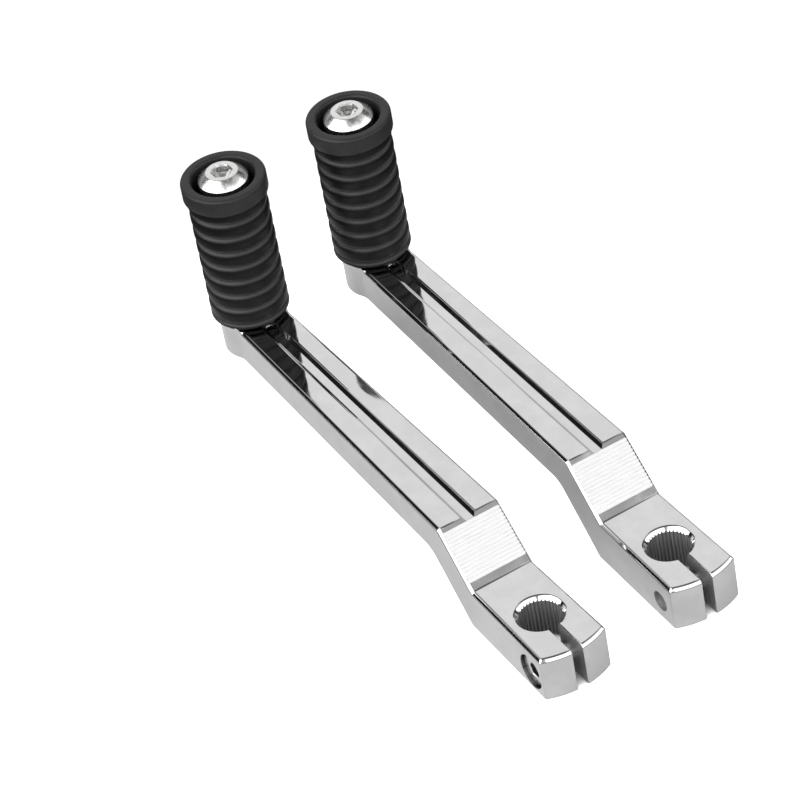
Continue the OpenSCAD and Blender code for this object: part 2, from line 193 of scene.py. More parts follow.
class FinishSettings(bpy.types.PropertyGroup):
    """Colours of the finishes"""
    chrome: tint("Chrome", "Reflected colour of the chrome plate", (0.56, 0.56, 0.56))
    milled: tint("Milled metal", "Colour of the milled slope", (0.67, 0.67, 0.67))
    # Broached colour: bare cut steel, darkened well below it as painted shade in the bore, the slit and the
    # tapped holes
    broached_shade: tint("Broached steel", "Colour of the bore's and the slit's cut walls", (0.24, 0.24, 0.24))
    dome: tint("Polished steel", "Reflected colour of the peg screws", (0.64, 0.64, 0.635))
    zinc: tint("Zinc plate", "Reflected colour of the pinch screws and spacers", (0.60, 0.60, 0.61))
    oxide: tint("Black oxide", "Colour of the bushes", (0.02, 0.02, 0.022))
    rubber: tint("Rubber", "Colour of the sleeves", (0.002, 0.002, 0.0021))
    # Painted sheen: this lighter colour stands in for light glancing off the ribs' shoulders and the lip
    sheen_tint: tint("Rubber bloom", "Colour of the dusty bloom in notches and on the lip", (0.039, 0.039, 0.039))
    # Painted shade: the counterbores' unplated steel is darkened to this share of the chrome
    bare_shade_share: portion("Bare share", "Bare counterbores' share of the chrome's brightness", 0.22)
    # Painted shade: the sockets' walls and floors take these shares of the screws' brightness
    peg_socket_shade: portion("Peg socket share", "Socket's share of a peg screw's brightness", 0.85)
    pinch_socket_shade: portion("Pinch socket share", "Socket's share of a pinch screw's brightness", 0.2)


class StageSettings(bpy.types.PropertyGroup):
    """Camera and floor"""
    camera_offset: FloatVectorProperty(
        name="Camera offset", description="Camera's place from the left clamp's bore, at the clamp's top",
        default=(0.75542, -0.37637, 0.77304), size=3, subtype="XYZ_LENGTH")
    camera_right: FloatVectorProperty(
        name="Camera right", description="Direction to the picture's right",
        default=(0.52015, 0.84138, -0.14672), size=3, subtype="DIRECTION")
    camera_forward: FloatVectorProperty(
        name="Camera forward", description="Direction in which the camera looks",
        default=(-0.70215, 0.32346, -0.63432), size=3, subtype="DIRECTION")
    lens: number("Lens", "Focal length, in millimetres", 193.79, unit="CAMERA")
    sensor: number("Sensor", "Width of the camera's sensor, in millimetres", 36.0, unit="CAMERA")
    floor_size: length("Floor size", "Length of the floor's sides", 6000.0)
    floor_colour: tint("Floor", "Colour of the floor", (0.54, 0.54, 0.54))
    # Painted light and shade: the floor glows though it is no lamp, is painted dark beyond a pool round the
    # object, and loses its glow in hollows
    unlit_share: portion("Unlit share", "Share of the floor's brightness that its unlit part has", 0.06)
    floor_glow: number("Floor glow", "Light that the lit floor gives by itself", 0.12)
    floor_lift: number("Floor lift", "Light that the floor shows to the camera only", 1.0)
    pool_margin: length("Lit margin", "Lit floor left round the object's box", 45.0)
    pool_fade: length("Lit edge", "Width over which the lit floor fades out", 20.0)
    hollow_depth: length("Hollow depth", "Reach within which walls keep the light out of hollows", 8.0)
    hollow_fade: fade("Hollow fade", "Openness at which the floor is dark, and fully lit", 0.3, 0.5)


class StudioSettings(bpy.types.PropertyGroup):
    """Light round the object: sides in radians from the camera, heights from 0 (horizon) to 1 (overhead)"""
    key_light: number("Left softbox", "Brightness of the softbox on the left", 3.4)
    fill_light: number("Right softbox", "Brightness of the softbox on the right", 1.9)
    wall_light: number("Back wall", "Brightness of the wall behind", 1.2)
    side_light: number("Surround", "Brightness of the room round the lights", 0.6)
    top_light: number("Ceiling", "Brightness of the ceiling overhead", 0.2)
    low_light: number("Horizon", "Brightness of the room at floor level", 0.22)
    flag_light: portion("Flags", "Share of the light that the dark flags at the sides let through", 0.03)
    box_side: fade("Softbox sides", "Side at which the softboxes end", 1.82, 1.9)
    box_foot: fade("Softbox feet", "Height at which the softboxes begin", 0.13, 0.19)
    box_top: fade("Softbox tops", "Height at which the softboxes end", 0.86, 0.878)
    top_slant: number("Top slant", "Fall of the softboxes' tops towards the right, per radian", 0.17)
    slant_start: number("Slant start", "Side to the left of which the softboxes' tops are level", -0.3)
    box_join: fade("Softbox join", "Side at which the left softbox gives way to the right one", -0.02, 0.02)
    gap_least: number("Gap", "Least half width of the gap between the softboxes", 0.06)
    gap_start: number("Gap start", "Height from which the gap widens", 0.7)
    gap_spread: number("Gap spread", "Widening of the gap with height", 2.6)
    gap_edge: fade("Gap edge", "Distance from the gap over which the softboxes fade in", 0.0, 0.04)
    wall_side: fade("Wall side", "Side at which the back wall begins", 2.35, 2.6)
    wall_foot: fade("Wall foot", "Height at which the back wall begins", 0.2, 0.35)
    wall_top: fade("Wall top", "Height at which the back wall ends", 0.78, 0.86)
    flag_near: fade("Flag near edge", "Side at which the flags begin", 1.84, 1.92)
    flag_far: fade("Flag far edge", "Side less height at which the flags end", 2.0, 2.15)
    flag_foot: fade("Flag foot", "Height at which the flags begin", 0.18, 0.26)
    flag_top: fade("Flag top", "Height at which the flags end", 0.5, 0.75)
    low_edge: fade("Horizon edge", "Height at which the horizon gives way to the room", 0.05, 0.2)
    ceiling_edge: fade("Ceiling edge", "Height at which the room gives way to the ceiling", 0.8, 0.88)


SETTINGS = {
    "lever_arms": ArmSettings,
    "lever_pegs": PegSettings,
    "lever_screws": ScrewSettings,
    "lever_finishes": FinishSettings,
    "lever_stage": StageSettings,
    "lever_studio": StudioSettings,
}


# Shader nodes

def add_node(tree, kind, **values):
    """Adds a shader node. A value is a link from another socket, or a constant for an input or a setting."""
    made = tree.nodes.new(kind)
    for key, value in values.items():
        target = made.inputs[int(key[1:])] if key[0] == "i" and key[1:].isdigit() else made.inputs.get(key)
        if target is None:
            setattr(made, key, value)
        elif isinstance(value, bpy.types.NodeSocket):
            tree.links.new(value, target)
        else:
            target.default_value = value
    return made


def maths(tree, operation, first, second=0.0, third=0.0):
    """Output of one Math node."""
    return add_node(tree, "ShaderNodeMath", operation=operation, i0=first, i1=second, i2=third).outputs[0]


def vector_maths(tree, operation, first, second=(0.0, 0.0, 0.0), output="Vector"):
    """Output of one Vector Math node."""
    made = add_node(tree, "ShaderNodeVectorMath", operation=operation, i0=first, i1=second)
    return made.outputs[output]


def product(tree, *factors):
    """Product of numbers."""
    result = factors[0]
    for factor in factors[1:]:
        result = maths(tree, "MULTIPLY", result, factor)
    return result


def ramp(tree, value, low, high, out_low=0.0, out_high=1.0):
    """Smooth change from out_low to out_high as value goes from low to high."""
    made = add_node(tree, "ShaderNodeMapRange", interpolation_type="SMOOTHSTEP", Value=value)
    for key, limit in (("From Min", low), ("From Max", high), ("To Min", out_low), ("To Max", out_high)):
        made.inputs[key].default_value = limit
    return made.outputs["Result"]


def speckle(tree, place, scale, detail=4.0, roughness=0.6):
    """Noise at a scale per metre."""
    return add_node(tree, "ShaderNodeTexNoise", Vector=place, Scale=scale, Detail=detail,
                    Roughness=roughness).outputs["Fac"]


def streaks(tree, place, scales, detail):
    """Noise with its own scale per metre along each axis."""
    stretch = add_node(tree, "ShaderNodeMapping", Vector=place, Scale=scales)
    return speckle(tree, stretch.outputs["Vector"], 1.0, detail)


def mixed_tint(tree, share, dark, light):
    """Colour that goes from dark to light with a share."""
    made = add_node(tree, "ShaderNodeMix", data_type="RGBA")
    tree.links.new(share, made.inputs["Factor"])
    sockets = [s for s in made.inputs if s.type == "RGBA"]
    sockets[0].default_value = (*dark, 1.0)
    sockets[1].default_value = (*light, 1.0)
    return [s for s in made.outputs if s.type == "RGBA"][0]


# Materials

def shade(colour, share):
    """A colour made darker or lighter."""
    return tuple(min(1.0, channel * share) for channel in colour)


def new_material(name, colour, metallic, **constants):
    """A material with a Principled shader, its tree, its shader and its Object coordinates."""
    made = bpy.data.materials.new(name)
    made.use_nodes = True
    made.diffuse_color = (*colour, 1.0)
    tree = made.node_tree
    shader = tree.nodes["Principled BSDF"]
    shader.inputs["Metallic"].default_value = metallic
    shader.inputs["Base Color"].default_value = (*colour, 1.0)
    for key, value in constants.items():
        shader.inputs[key.replace("_", " ")].default_value = value
    place = add_node(tree, "ShaderNodeTexCoord").outputs["Object"]
    return made, tree, shader, place


def feed(tree, shader, **outputs):
    """Links outputs to the shader's inputs, which are named with underscores for spaces."""
    for key, output in outputs.items():
        tree.links.new(output, shader.inputs[key.replace("_", " ")])


def raised(tree, shader, height, strength, distance):
    """Bump on the shader's normal."""
    bump = add_node(tree, "ShaderNodeBump", Height=height, Strength=strength, Distance=distance)
    feed(tree, shader, Normal=bump.outputs["Normal"])


def uneven(tree, shader, noise, colour, shares, roughness, strength, distance):
    """Varies the shader's colour between two shares, its roughness between two values, and its height."""
    darkest, lightest = (shade(colour, share) for share in shares)
    feed(tree, shader,
         Base_Color=mixed_tint(tree, ramp(tree, noise, *NOISE_RANGE), darkest, lightest),
         Roughness=ramp(tree, noise, *NOISE_RANGE, *roughness))
    raised(tree, shader, noise, strength, distance)


def chrome_plate(finish):
    """Bright plate: nearly a mirror, with the faint haze and polishing marks of buffed chrome."""
    made, tree, shader, place = new_material("chrome_plate", finish.chrome, metallic=1.0)
    haze = speckle(tree, place, scale=140.0, detail=3.0)
    clear, hazy = shade(finish.chrome, 0.96), shade(finish.chrome, 1.03)
    feed(tree, shader,
         Base_Color=mixed_tint(tree, ramp(tree, haze, 0.35, 0.7), clear, hazy),
         Roughness=ramp(tree, haze, 0.3, 0.75, out_low=0.025, out_high=0.075))
    marks = streaks(tree, place, scales=(60.0, 2600.0, 2600.0), detail=2.0)
    raised(tree, shader, marks, strength=0.02, distance=0.02 * MM)
    return made


def milled_metal(finish):
    """Bright cut metal of the milled slope, with the cutter's fine lines across it."""
    made, tree, shader, place = new_material("milled_metal", finish.milled, metallic=0.12)
    lines = streaks(tree, place, scales=(9000.0, 260.0, 9000.0), detail=3.0)
    uneven(tree, shader, lines, finish.milled, shares=(0.9, 1.0), roughness=(0.5, 0.65),
           strength=0.25, distance=0.04 * MM)
    return made


def shaded_broached_steel(finish):
    """Cut walls of the bore and the slit, with the broach's streaks along them; their dark colour is bare cut
    steel and painted shade inside the bore and the slit.
    """
    made, tree, shader, place = new_material("shaded_broached_steel", finish.broached_shade, metallic=0.6)
    cuts = streaks(tree, place, scales=(1800.0, 1800.0, 90.0), detail=3.0)
    uneven(tree, shader, cuts, finish.broached_shade, shares=(0.85, 1.15), roughness=(0.3, 0.5),
           strength=0.1, distance=0.04 * MM)
    return made


def steel(name, colour, roughness, scale):
    """Polished, plated or unplated steel with uneven gloss, in its own colour or in a copy darkened as
    painted shade.
    """
    made, tree, shader, place = new_material(name, colour, metallic=1.0)
    cloud = speckle(tree, place, scale, detail=2.0)
    uneven(tree, shader, cloud, colour, shares=(0.9, 1.06), roughness=roughness,
           strength=0.04, distance=0.02 * MM)
    return made


def black_oxide(finish):
    """Blackened steel of the bushes, slightly mottled."""
    made, tree, shader, place = new_material("black_oxide", finish.oxide, metallic=0.6)
    cloud = speckle(tree, place, scale=500.0)
    feed(tree, shader,
         Base_Color=mixed_tint(tree, cloud, shade(finish.oxide, 0.7), shade(finish.oxide, 1.4)),
         Roughness=ramp(tree, cloud, *NOISE_RANGE, out_low=0.4, out_high=0.6))
    return made


def moulded_rubber(finish, peg, low, high):
    """Matte black rubber with a fine grain from the mould, and a mottled painted sheen on its ribs' shoulders
    by the notches and on its lip.
    """
    made, tree, shader, place = new_material("moulded_rubber", finish.rubber, metallic=0.0,
                                             Specular_IOR_Level=0.2)
    grain = speckle(tree, place, scale=4200.0, detail=3.0, roughness=0.7)
    cloud = speckle(tree, place, scale=160.0)
    mottle = maths(tree, "ADD", maths(tree, "MULTIPLY", grain, 0.6), maths(tree, "MULTIPLY", cloud, 0.4))
    height = add_node(tree, "ShaderNodeSeparateXYZ", Vector=place).outputs["Z"]
    ribs_below = maths(tree, "DIVIDE", maths(tree, "SUBTRACT", height, low + peg.foot_height), peg.rib_pitch)
    # Places on a rib as shares of its pitch: its crest, and how far from it the painted sheen begins and is
    # full
    crest = 0.54
    sheen_edge = (0.27, 0.42)
    from_crest = maths(tree, "ABSOLUTE", maths(tree, "SUBTRACT", maths(tree, "FRACT", ribs_below), crest))
    lip = high - peg.lip_height
    lip_edge = (lip - 0.2 * MM, lip)
    # Painted sheen: lighter on each rib's shoulders, by the notches, and on the lip
    in_notches = product(tree, ramp(tree, from_crest, *sheen_edge), ramp(tree, height, *lip_edge, 1.0, 0.0))
    on_lip = ramp(tree, height, *lip_edge, out_low=0.0, out_high=0.5)
    painted_sheen = product(tree, maths(tree, "MAXIMUM", in_notches, on_lip),
                   ramp(tree, mottle, *NOISE_RANGE, out_low=0.6, out_high=1.2))
    feed(tree, shader,
         Base_Color=mixed_tint(tree, painted_sheen, finish.rubber, finish.sheen_tint),
         Roughness=ramp(tree, mottle, *NOISE_RANGE, out_low=0.34, out_high=0.46))
    raised(tree, shader, grain, strength=0.3, distance=0.08 * MM)
    return made


def pale_floor(stage):
    """Floor with a painted pool of light round the object and painted shade in narrow hollows; it glows by
    itself and looks white to the camera.
    """
    made, tree, shader, place = new_material("pale_floor", stage.floor_colour, metallic=0.0, Roughness=0.9,
                                             Emission_Color=WHITE)
    low, high = (Vector(corner) for corner in CAD_BOX)
    from_middle = vector_maths(tree, "ABSOLUTE", vector_maths(tree, "SUBTRACT", place, (low + high) / 2))
    past_box = vector_maths(tree, "MAXIMUM", vector_maths(tree, "SUBTRACT", from_middle, (high - low) / 2))
    away = vector_maths(tree, "LENGTH", past_box, output="Value")
    # Painted pool of light: the floor's colour and glow fade to a dark floor beyond a margin round the object
    lit = ramp(tree, away, stage.pool_margin, stage.pool_margin + stage.pool_fade, out_low=1.0, out_high=0.0)
    seen = add_node(tree, "ShaderNodeLightPath").outputs["Is Camera Ray"]
    # Painted shade: the glow is cut in narrow hollows, where walls close round the floor
    around = add_node(tree, "ShaderNodeAmbientOcclusion", samples=8, Distance=stage.hollow_depth)
    # The floor glows though it is no lamp, and glows brighter still for camera rays
    glow = maths(tree, "MULTIPLY_ADD", lit, stage.floor_glow, product(tree, seen, stage.floor_lift))
    unlit_colour = shade(stage.floor_colour, stage.unlit_share)
    feed(tree, shader,
         Base_Color=mixed_tint(tree, lit, unlit_colour, stage.floor_colour),
         Emission_Strength=product(tree, glow, ramp(tree, around.outputs["AO"], *stage.hollow_fade)))
    return made


# Meshes

def finished_piece(bm, name, body, slot, nodes, *materials, smooth_angle=0.0):
    """Makes a bmesh into a piece that rides on a body and stands for CAD nodes."""
    mesh = bpy.data.meshes.new(name)
    bm.to_mesh(mesh)
    bm.free()
    for material in materials:
        mesh.materials.append(material)
    mesh.shade_smooth()
    if smooth_angle:
        mesh.set_sharp_from_angle(angle=math.radians(smooth_angle))
    piece = bpy.data.objects.new(name, mesh)
    bpy.context.scene.collection.objects.link(piece)
    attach(piece, body)
    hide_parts(*nodes)


def box_middle(node):
    """Lowest and highest corner of a CAD node, and its middle."""
    low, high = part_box(node)
    return low, high, (low + high) / 2


def turned(bm, section, steps, closed=False):
    """Spins a half section of radii and heights about Z. Returns the vertices of the section's last ring."""
    points = [bm.verts.new((radius, 0.0, height)) for radius, height in section]
    following = points[1:] + points[:1] if closed else points[1:]
    edges = [bm.edges.new(pair) for pair in zip(points, following)]
    last_radius, last_height = section[-1]
    bmesh.ops.spin(bm, geom=points + edges, cent=(0, 0, 0), axis=(0, 0, 1), angle=2 * math.pi,
                   steps=steps, use_merge=True)
    bmesh.ops.remove_doubles(bm, verts=bm.verts[:], dist=TOUCHING)
    return [v for v in bm.verts if abs(v.co.z - last_height) < TOUCHING
            and abs(math.hypot(v.co.x, v.co.y) - last_radius) < TOUCHING]


def set_down(bm, place):
    """Turns a shape's faces outwards and moves it to its place."""
    bmesh.ops.recalc_face_normals(bm, faces=bm.faces[:])
    bmesh.ops.translate(bm, verts=bm.verts[:], vec=place)


def ring_edges(ring):
    """The edges that join the vertices of a ring and bound one face."""
    members = set(ring)
    return [e for e in {e for v in ring for e in v.link_edges} if set(e.verts) <= members and e.is_boundary]


def next_ring(bm, ring, place):
    """Extrudes an open ring and puts each new vertex where place says for its angle."""
    made = bmesh.ops.extrude_edge_only(bm, edges=ring_edges(ring))
    fresh = [v for v in made["geom"] if isinstance(v, bmesh.types.BMVert)]
    for v in fresh:
        radius, height = place(math.atan2(v.co.y, v.co.x))
        reach = math.hypot(v.co.x, v.co.y)
        v.co = (v.co.x / reach * radius, v.co.y / reach * radius, height)
    return fresh


def hexagon(key):
    """Radius of a hexagon with that width across its flats, by angle."""
    return lambda angle: key / 2 / math.cos((angle % (math.pi / 3)) - math.pi / 6)


def cut_socket(bm, ring, key, top, depth, chamfer):
    """Closes an open flat top with a hexagon socket that has a chamfered mouth and a drilled floor."""
    side = hexagon(key)
    mouth = 1.25 * chamfer
    wall_foot = top - 0.9 * depth
    floor = top - depth
    floor_share = 0.86
    drill_tip = floor - 0.1 * key
    drill_radius = 0.02 * key
    ring = next_ring(bm, ring, lambda angle: (side(angle) + mouth, top))
    ring = next_ring(bm, ring, lambda angle: (side(angle), top - chamfer))
    ring = next_ring(bm, ring, lambda angle: (side(angle), wall_foot))
    ring = next_ring(bm, ring, lambda angle: (side(angle) * floor_share, floor))
    ring = next_ring(bm, ring, lambda angle: (drill_radius, drill_tip))
    bmesh.ops.contextual_create(bm, geom=ring_edges(ring))
    # Painted shade: the socket's walls and floor take the darker copy of the screw's metal
    socket_reach = 0.6 * key
    for face in bm.faces:
        middle = face.calc_center_median()
        if drill_tip < middle.z < top - chamfer and math.hypot(middle.x, middle.y) < socket_reach:
            face.material_index = SHADED_SOCKET


def arc(centre, radius, start, end, steps):
    """Points of an arc in the half section, angles in degrees from the radius."""
    angles = [math.radians(start + (end - start) * i / steps) for i in range(steps + 1)]
    return [(centre[0] + radius * math.cos(a), centre[1] + radius * math.sin(a)) for a in angles]


def swell(share, fullness):
    """Swell of a rib above its notch at a share of its height."""
    return 1.0 - abs(2.0 * share - 1.0) ** fullness


def sleeve_section(peg, low, high, lip_radius):
    """Half section of the ribbed sleeve, from its foot round the lip and back down its bore."""
    notch = peg.rib_radius - peg.notch_depth
    turn = peg.edge_round
    points = arc((notch - turn, low + turn), turn, -90.0, 0.0, peg.edge_steps)
    foot = low + peg.foot_height
    lip = high - peg.lip_height
    ribs = [(low + turn, foot)]
    ribs += [(foot + i * peg.rib_pitch, foot + (i + 1) * peg.rib_pitch) for i in range(peg.rib_count)]
    ribs.append((ribs[-1][1], lip))
    shares = [0.5 - 0.5 * math.cos(math.pi * i / peg.rib_steps) for i in range(peg.rib_steps)]
    for start, end in ribs:
        points += [(notch + peg.notch_depth * swell(share, peg.rib_fullness), start + (end - start) * share)
                   for share in shares]
    under = 0.25 * turn
    points += [(notch, lip), (lip_radius - under, lip)]
    points += arc((lip_radius - under, lip + under), under, -90.0, 0.0, peg.edge_steps // 2)[1:]
    points += arc((lip_radius - turn, high - turn), turn, 0.0, 90.0, peg.edge_steps)
    points += arc((peg.mouth_radius + turn, high - turn), turn, 90.0, 180.0, peg.edge_steps)
    floor = high - peg.mouth_depth
    recess = low + peg.flange_height
    points += [(peg.mouth_radius, floor), (peg.bore_radius, floor), (peg.bore_radius, recess),
               (peg.flange_radius, recess), (peg.flange_radius, low)]
    return points


def peg_screw_section(screw, low, high):
    """Half section of a peg screw, from its tip to the flat on its domed head."""
    seat = high - screw.dome_height
    brow = Vector((screw.head_radius, seat + screw.dome_rim))
    flank = Vector((screw.flat_radius, high)) - brow
    outward = Vector((flank.y, -flank.x)).normalized()
    section = [(0.0, low), (screw.peg_thread - screw.peg_lead, low), (screw.peg_thread, low + screw.peg_lead),
               (screw.peg_thread, seat), (screw.head_radius - screw.head_round, seat),
               (screw.head_radius, seat + screw.head_round)]
    dome_end = 0.98
    shares = [dome_end * i / screw.dome_steps for i in range(screw.dome_steps + 1)]
    section += [brow + flank * t + outward * screw.dome_swell * 4 * t * (1 - t) for t in shares]
    section.append((screw.flat_radius - screw.flat_edge, high))
    return section


def pinch_screw_section(screw, span):
    """Half section of a pinch screw, from its tip at height 0 to the flat top of its head."""
    seat = span - screw.cap_height
    section = [(0.0, 0.0), (screw.pinch_thread - screw.pinch_lead, 0.0)]
    height = screw.pinch_lead
    while height < seat - screw.thread_start:
        section += [(screw.pinch_thread, height),
                    (screw.pinch_thread - screw.thread_depth, height + screw.thread_pitch / 2)]
        height += screw.thread_pitch
    section += [(screw.pinch_thread, height), (screw.pinch_thread, seat), (screw.cap_radius, seat),
                (screw.cap_radius, span - screw.cap_edge), (screw.cap_radius - screw.cap_edge, span)]
    return section


class ArmZones:
    """Tells which part of one arm a point, an edge or a face belongs to."""
    # Reach of the milled patch past its first and last flute
    patch_margin = 0.2 * MM
    # Depths under the slope: down to the flutes' edges, down to their faces, and where their faces begin
    flute_reach = 0.5 * MM
    flute_floor = 0.3 * MM
    flute_crest = 0.01 * MM
    # Distance from the slit's wall within which a face is the wall
    slit_slack = 0.02 * MM
    # Shares of a normal: most upwards on a wall, least sideways on the arm's side, most sideways on a flute
    wall_rise = 0.3
    side_lean = 0.5
    flute_lean = 0.2

    def __init__(self, side, arm):
        self.arm = arm
        self.bore = CLAMPS[side]
        self.pinch = box_middle(f"{side}_pinch_screw")[2]
        self.foot = Vector((self.bore.x - arm.slope_start, 0.0, arm.clamp_height))
        self.up = Vector((-arm.slope_run, 0.0, arm.rise)).normalized()
        self.over = Vector((arm.rise, 0.0, arm.slope_run)).normalized()
        self.patch_start = arm.band_bottom - self.patch_margin
        self.patch_end = math.hypot(arm.rise, arm.slope_run) - arm.band_top + self.patch_margin

    def from_bore(self, point):
        """Distance from the bore's axis."""
        return math.hypot(point.x - self.bore.x, point.y - self.bore.y)

    def from_pinch(self, point):
        """Distance from the pinch screw's axis."""
        return math.hypot(point.x - self.pinch.x, point.z - self.pinch.z)

    def up_slope(self, point):
        """Distance up the slope from its foot."""
        return (point - self.foot).dot(self.up)

    def over_slope(self, point):
        """Height over the slope."""
        return (point - self.foot).dot(self.over)

    def along_patch(self, point):
        """Whether a point lies as far up the slope as the milled patch does."""
        return self.patch_start < self.up_slope(point) < self.patch_end

    def stays_crisp(self, point):
        """Whether the edges at a point keep the form that the tool left."""
        return (self.from_bore(point) < self.arm.bore_clear or self.from_pinch(point) < self.arm.pinch_clear
                or self.along_patch(point) and self.over_slope(point) > -self.flute_reach)

    def ends_flute(self, edge):
        """Whether a flute runs out through the arm's side at an edge."""
        on_slope = all(self.stays_crisp(v.co) and self.up_slope(v.co) > 0.0 for v in edge.verts)
        sides = sorted(abs(face.normal.y) > self.side_lean for face in edge.link_faces)
        return edge.is_manifold and on_slope and sides == [False, True]

    def material_slot(self, face):
        """Slot of the finish that a face has."""
        middle = face.calc_center_median()
        in_bore = self.from_bore(middle) < self.arm.bore_radius
        from_slit = abs(middle.y - self.bore.y) - self.arm.slit_width / 2
        in_slit = middle.x > self.bore.x and from_slit < self.slit_slack
        # Painted shade: the walls of the bore and the slit take the dark cut steel
        if (in_bore or in_slit) and abs(face.normal.z) < self.wall_rise:
            return SHADED_CUT
        # Painted shade: the counterbore's wall is unplated steel darkened well below chrome; the tapped hole
        # inside it takes the dark cut steel
        if self.from_pinch(middle) < self.arm.pinch_clear and abs(face.normal.y) < self.side_lean:
            return SHADED_BARE if self.from_pinch(middle) > self.arm.tapped_clear else SHADED_CUT
        in_flutes = -self.flute_floor < self.over_slope(middle) < -self.flute_crest
        if self.along_patch(middle) and in_flutes and abs(face.normal.y) < self.flute_lean:
            return MILLED
        return PLATED


def merged_copy(node, weld):
    """A copy of a CAD node's mesh, with its triangles merged into flat faces."""
    nearly_flat = math.radians(0.3)
    bm = bmesh.new()
    bm.from_mesh(frame["nodes"][node].data)
    bmesh.ops.remove_doubles(bm, verts=bm.verts[:], dist=weld)
    bmesh.ops.dissolve_degenerate(bm, edges=bm.edges[:], dist=weld)
    bmesh.ops.dissolve_limit(bm, angle_limit=nearly_flat, verts=bm.verts[:], edges=bm.edges[:])
    return bm


def rounded(bm, edges, radius, steps):
    """Rounds edges and returns the faces of the new strips."""
    made = bmesh.ops.bevel(bm, geom=edges, offset=radius, offset_type="OFFSET", affect="EDGES",
                           segments=steps, profile=0.5, clamp_overlap=False, material=-1)
    return made["faces"]


def polished_arm(side, arm):
    """The CAD arm as one closed mesh whose outer edges are rounded and whose faces have their finishes."""
    corner_turn = math.radians(12.0)
    strip_turn = math.radians(40.0)
    curve_turn = math.radians(15.0)
    zones = ArmZones(side, arm)
    bm = merged_copy(f"{side}_arm", arm.weld)
    outer = [e for e in bm.edges if e.is_manifold and e.calc_face_angle() > corner_turn
             and not any(zones.stays_crisp(v.co) for v in e.verts)]
    strips = set(rounded(bm, outer, arm.edge_radius, arm.edge_steps))
    teeth = [e for e in bm.edges if zones.ends_flute(e)]
    strips.update(rounded(bm, teeth, arm.tooth_radius, arm.tooth_steps))
    for edge in bm.edges:
        within = sum(face in strips for face in edge.link_faces)
        smooth_turn = strip_turn if within else curve_turn
        edge.smooth = within != 1 and edge.calc_face_angle(math.pi) < smooth_turn
    for face in bm.faces:
        face.material_index = zones.material_slot(face)
    return bm


# Stage

def lay_floor(stage):
    """A plain pale floor under the object."""
    bm = bmesh.new()
    bmesh.ops.create_grid(bm, x_segments=1, y_segments=1, size=stage.floor_size / 2)
    mesh = bpy.data.meshes.new("floor")
    bm.to_mesh(mesh)
    bm.free()
    mesh.materials.append(pale_floor(stage))
    floor = bpy.data.objects.new("floor", mesh)
    bpy.context.scene.collection.objects.link(floor)


def studio_brightness(tree, studio, turn, high):
    """Brightness of the studio at a turn from the camera, to its left below 0, and at a height."""
    def past(value, limits):
        return ramp(tree, value, *limits)

    def short_of(value, limits):
        return ramp(tree, value, *limits, out_low=1.0, out_high=0.0)

    aside = maths(tree, "ABSOLUTE", turn)
    gap = maths(tree, "MULTIPLY", maths(tree, "SUBTRACT", high, studio.gap_start), studio.gap_spread)
    from_gap = maths(tree, "SUBTRACT", aside, maths(tree, "MAXIMUM", gap, studio.gap_least))
    slanting_turn = maths(tree, "MAXIMUM", turn, studio.slant_start)
    slanted = maths(tree, "MULTIPLY_ADD", slanting_turn, studio.top_slant, high)
    boxes = product(tree, past(from_gap, studio.gap_edge), short_of(aside, studio.box_side),
                    past(high, studio.box_foot), short_of(slanted, studio.box_top))
    wall = product(tree, past(aside, studio.wall_side), past(high, studio.wall_foot),
                   short_of(high, studio.wall_top))
    far_side = maths(tree, "SUBTRACT", aside, high)
    flags = product(tree, past(aside, studio.flag_near), short_of(far_side, studio.flag_far),
                    past(high, studio.flag_foot), short_of(high, studio.flag_top))
    room = product(tree, ramp(tree, high, *studio.low_edge, studio.low_light, studio.side_light),
                   ramp(tree, high, *studio.ceiling_edge, 1.0, studio.top_light / studio.side_light))
    box_light = ramp(tree, turn, *studio.box_join, studio.key_light, studio.fill_light)
    room = maths(tree, "ADD", room, product(tree, boxes, box_light))
    room = maths(tree, "ADD", room, product(tree, wall, studio.wall_light - studio.side_light))
    return product(tree, room, maths(tree, "SUBTRACT", 1.0, product(tree, flags, 1.0 - studio.flag_light)))


def light_world(scene, studio, camera_forward):
    """Studio round the object: softboxes beside the camera, dark flags at the sides, a bright wall behind."""
    world = bpy.data.worlds.new("studio")
    scene.world = world
    world.use_nodes = True
    tree = world.node_tree
    tree.nodes.clear()
    direction = add_node(tree, "ShaderNodeTexCoord").outputs["Generated"]
    split = add_node(tree, "ShaderNodeSeparateXYZ", Vector=direction)
    camera_turn = math.atan2(-camera_forward[1], -camera_forward[0])
    turn = maths(tree, "ARCTAN2", split.outputs["Y"], split.outputs["X"])
    turn = maths(tree, "WRAP", maths(tree, "SUBTRACT", turn, camera_turn), math.pi, -math.pi)
    bright = studio_brightness(tree, studio, turn, split.outputs["Z"])
    seen = add_node(tree, "ShaderNodeLightPath").outputs["Is Camera Ray"]
    light = add_node(tree, "ShaderNodeBackground", Color=WHITE, Strength=maths(tree, "MAXIMUM", bright, seen))
    out = add_node(tree, "ShaderNodeOutputWorld")
    tree.links.new(light.outputs[0], out.inputs["Surface"])


def place_camera(scene, stage):
    """Camera at the photograph's viewing angle."""
    data = bpy.data.cameras.new("camera")
    data.lens = stage.lens
    data.sensor_fit = "HORIZONTAL"
    data.sensor_width = stage.sensor
    data.clip_start = 10.0 * MM
    data.clip_end = 20000.0 * MM
    camera = bpy.data.objects.new("camera", data)
    scene.collection.objects.link(camera)
    right = Vector(stage.camera_right).normalized()
    back = -Vector(stage.camera_forward).normalized()
    up = back.cross(right)
    bore = CLAMPS["left"]
    spot = Vector((bore.x, bore.y, scene.lever_arms.clamp_height)) + Vector(stage.camera_offset)
    camera.matrix_world = Matrix.Translation(spot) @ Matrix((right, up, back)).transposed().to_4x4()
    scene.camera = camera
    scene.view_settings.view_transform = "Standard"


# Operators

